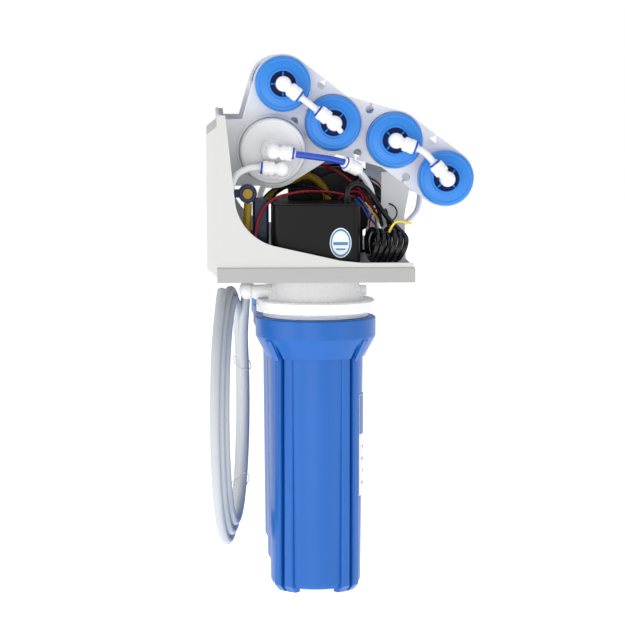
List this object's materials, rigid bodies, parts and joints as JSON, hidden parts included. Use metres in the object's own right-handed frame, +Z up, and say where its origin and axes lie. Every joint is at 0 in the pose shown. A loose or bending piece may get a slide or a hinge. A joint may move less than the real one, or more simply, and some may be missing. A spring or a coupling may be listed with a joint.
{
  "type": "reverse osmosis unit",
  "caption": "Wall-hung reverse osmosis water unit: blue screw-off sumps under a white steel tray, clipped in-line filters, membrane housing, booster pump and transformer.",
  "frame": {"origin": "midway between the two wall screw holes, on the wall face of the raised pan", "axes": "+X along the row of housings, +Y into the wall, +Z up; the front is -Y"},
  "size_m": [0.39, 0.2633, 0.5269],
  "materials": {
    "black_plastic": "fine grain",
    "blue_plastic": "semi-gloss blue moulded",
    "clip_blue": "deep blue",
    "connector_white": "natural nylon",
    "filter_media": "wound fibre",
    "label_paper": "printed film",
    "lead_black": "satin",
    "motor_black": "satin",
    "navy_plastic": "satin navy",
    "painted_steel": "satin white powder coat",
    "rack_plastic": "pale grey-white moulded",
    "red_wire": "insulation",
    "screw_steel": "plated",
    "seal_rubber": "matt",
    "steel": "ground",
    "tube_white": "satin polyethylene",
    "white_plastic": "semi-gloss white moulded",
    "yellow_hose": "satin"
  },
  "bodies": {
    "root": {"back_plate": "painted_steel", "blue_tube": "clip_blue", "clip_plate_far": "rack_plastic", "clip_plate_near": "rack_plastic", "coil_ties": "connector_white", "elbows_far": "white_plastic", "elbows_near": "white_plastic", "filter_body_1": "blue_plastic", "filter_body_2": "blue_plastic", "filter_body_3": "blue_plastic", "filter_body_4": "blue_plastic", "filter_caps_far": "blue_plastic", "filter_caps_near": "blue_plastic", "filter_media": "filter_media", "head_1": "white_plastic", "head_2": "white_plastic", "head_3": "white_plastic", "head_couplers": "white_plastic", "hose_collar": "navy_plastic", "hose_elbow": "white_plastic", "lock_clips": "clip_blue", "mains_hank": "lead_black", "mains_lead": "lead_black", "mains_plug": "lead_black", "membrane_cap": "white_plastic", "membrane_housing": "white_plastic", "pressure_switch_high": "black_plastic", "pressure_switch_low": "navy_plastic", "pump_bracket": "motor_black", "pump_head": "black_plastic", "pump_hoses": "yellow_hose", "pump_motor_can": "motor_black", "pure_water_elbow": "white_plastic", "screws": "screw_steel", "side_panel_far": "painted_steel", "side_panel_near": "painted_steel", "supply_hose": "tube_white", "supply_hose_coil": "tube_white", "transformer_case": "black_plastic", "transformer_core": "steel", "transformer_sticker": "label_paper", "tray": "painted_steel", "union_fitting": "white_plastic", "uprights": "painted_steel", "valve_body": "navy_plastic", "white_tubes": "tube_white", "wire_connector": "connector_white", "wires": "red_wire"},
    "cartridge_set_1": {"sump_o_ring_1": "seal_rubber", "cartridge_1": "filter_media"},
    "sump_1": {"sump_1": "blue_plastic", "sump_label": "label_paper"},
    "cartridge_set_2": {"sump_o_ring_2": "seal_rubber", "cartridge_2": "filter_media"},
    "sump_2": {"sump_2": "blue_plastic"},
    "cartridge_set_3": {"sump_o_ring_3": "seal_rubber", "cartridge_3": "filter_media"},
    "sump_3": {"sump_3": "blue_plastic"},
    "pump_rotor": {"pump_rotor": "steel"},
    "valve_plunger": {"valve_plunger": "steel"}
  },
  "joints": [
    {"name": "sump_1_drop", "type": "slide", "parent": "root", "child": "cartridge_set_1", "axis": [0, 0, -1], "range_m": [0, 0.012]},
    {"name": "sump_1_turn", "type": "hinge", "parent": "cartridge_set_1", "child": "sump_1", "pos_m": [-0.125, -0.107, -0.3], "axis": [0, 0, -1], "range_deg": [0, 1080]},
    {"name": "sump_2_drop", "type": "slide", "parent": "root", "child": "cartridge_set_2", "axis": [0, 0, -1], "range_m": [0, 0.012]},
    {"name": "sump_2_turn", "type": "hinge", "parent": "cartridge_set_2", "child": "sump_2", "pos_m": [0, -0.107, -0.3], "axis": [0, 0, -1], "range_deg": [0, 1080]},
    {"name": "sump_3_drop", "type": "slide", "parent": "root", "child": "cartridge_set_3", "axis": [0, 0, -1], "range_m": [0, 0.012]},
    {"name": "sump_3_turn", "type": "hinge", "parent": "cartridge_set_3", "child": "sump_3", "pos_m": [0.125, -0.107, -0.3], "axis": [0, 0, -1], "range_deg": [0, 1080]},
    {"name": "pump_rotor_spin", "type": "hinge", "parent": "root", "child": "pump_rotor", "pos_m": [0.04, -0.131, -0.057], "axis": [1, 0, 0], "continuous": true},
    {"name": "valve_plunger_lift", "type": "slide", "parent": "root", "child": "valve_plunger", "axis": [0, 0, 1], "range_m": [0, 0.003], "stiffness_N_per_m": 60, "springref_m": -0.001}
  ],
  "couplings": [
    {"joint": "sump_1_drop", "follows": "sump_1_turn", "m_per_rad": 0.00063662},
    {"joint": "sump_2_drop", "follows": "sump_2_turn", "m_per_rad": 0.00063662},
    {"joint": "sump_3_drop", "follows": "sump_3_turn", "m_per_rad": 0.00063662}
  ]
}
